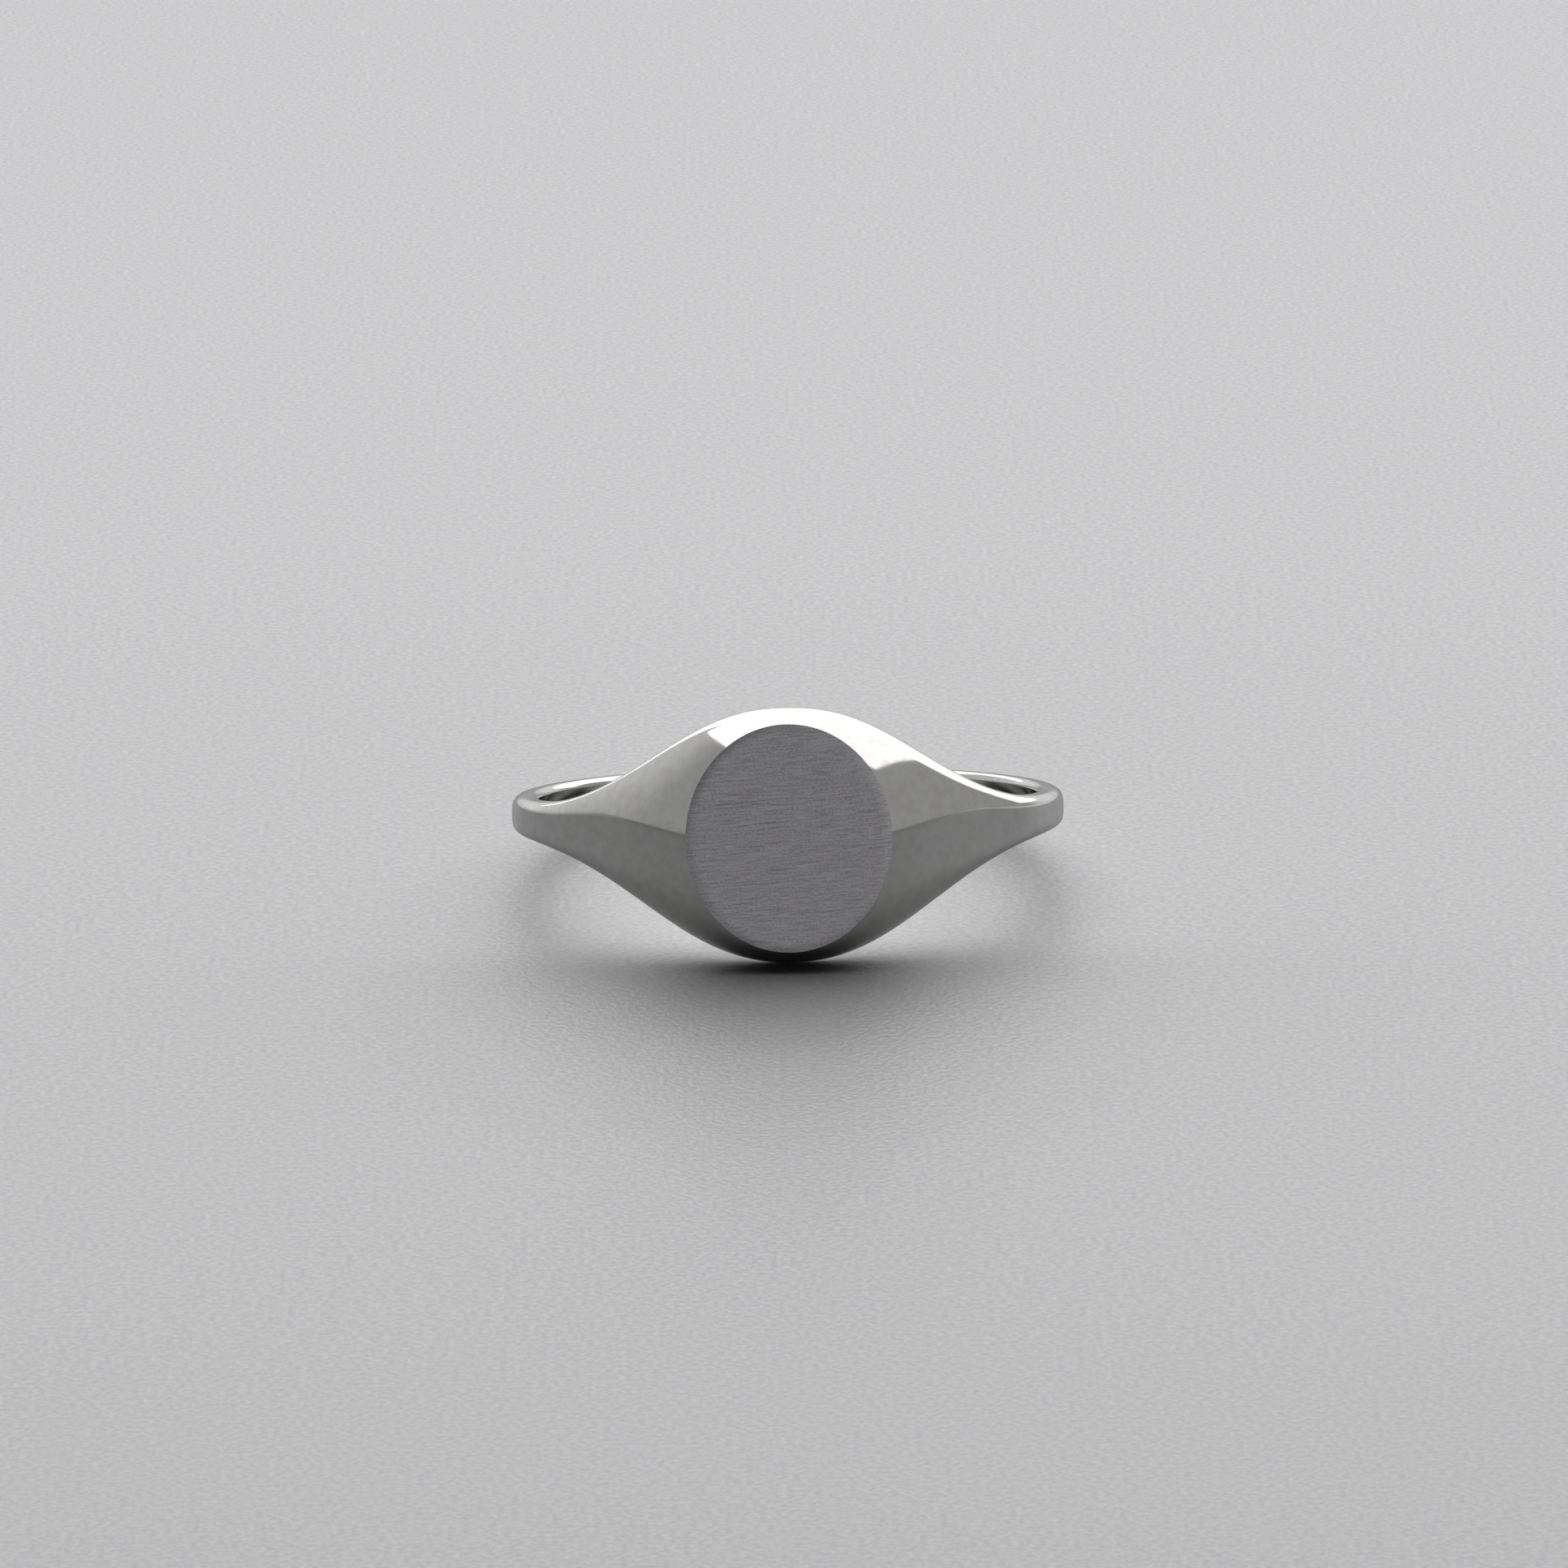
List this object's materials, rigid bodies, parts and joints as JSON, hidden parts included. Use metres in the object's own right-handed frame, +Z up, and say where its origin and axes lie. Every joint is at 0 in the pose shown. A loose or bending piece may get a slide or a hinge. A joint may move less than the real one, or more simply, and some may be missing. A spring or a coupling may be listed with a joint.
{
  "type": "signet ring",
  "caption": "Polished silver signet ring with a plain brushed oval face and tapered shoulders, lying on its side.",
  "frame": {"origin": "middle of the ring's footprint on the surface that it lies on", "axes": "+Z up from the surface; the oval face looks to -Y and 11.6 degrees up; +X is to the right of someone looking at the face; the finger hole's axis leans from +Z towards +Y by 11.6 degrees"},
  "size_m": [0.0192, 0.0204, 0.0086],
  "materials": {
    "polished_silver": "mirror polished sterling silver",
    "brushed_silver": "brushed sterling silver, lines across the face",
    "silver_solder": "polished silver solder"
  },
  "bodies": {
    "root": {"shank": "polished_silver", "shoulder_left": "polished_silver", "shoulder_right": "polished_silver", "head": "polished_silver", "face_plate": "brushed_silver", "shank_solder_left": "silver_solder", "shank_solder_right": "silver_solder", "shoulder_solder_left": "silver_solder", "shoulder_solder_right": "silver_solder", "face_solder": "silver_solder"}
  },
  "joints": []
}
